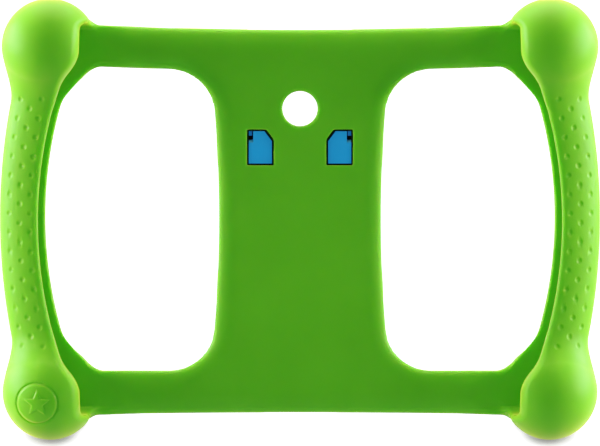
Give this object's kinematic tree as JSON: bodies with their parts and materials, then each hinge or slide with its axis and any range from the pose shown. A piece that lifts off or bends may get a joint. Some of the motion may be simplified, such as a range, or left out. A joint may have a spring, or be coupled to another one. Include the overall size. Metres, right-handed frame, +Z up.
{
  "type": "tablet bumper with stand",
  "caption": "Soft open-backed bumper frame for a child's tablet: round corner balls, dimpled side grips, keyed plastic tabs and a fold-out rear leg.",
  "frame": {"origin": "on the table, below the middle of the standing part's bounding box", "axes": "+X to the user's right, +Y away from the user, +Z up; the panel leans back 30 degrees from upright"},
  "size_m": [0.2344, 0.111, 0.1543],
  "materials": {
    "soft_green": "soft-touch matte elastomer",
    "hard_blue": "satin moulded plastic",
    "hard_blue_leg": "satin moulded plastic, fine spark texture on the outer face",
    "steel": "ground dowel pin"
  },
  "bodies": {
    "bumper": {"bumper_frame": "soft_green", "tab_left": "hard_blue", "tab_right": "hard_blue", "bracket_left": "hard_blue", "bracket_right": "hard_blue", "pin_left": "steel", "pin_right": "steel"},
    "leg": {"stand_leg": "hard_blue_leg"}
  },
  "joints": [
    {"name": "leg_hinge", "type": "hinge", "parent": "bumper", "child": "leg", "pos_m": [0, 0.02638, 0.09595], "axis": [1, 0, 0], "range_deg": [-46, 0]}
  ]
}
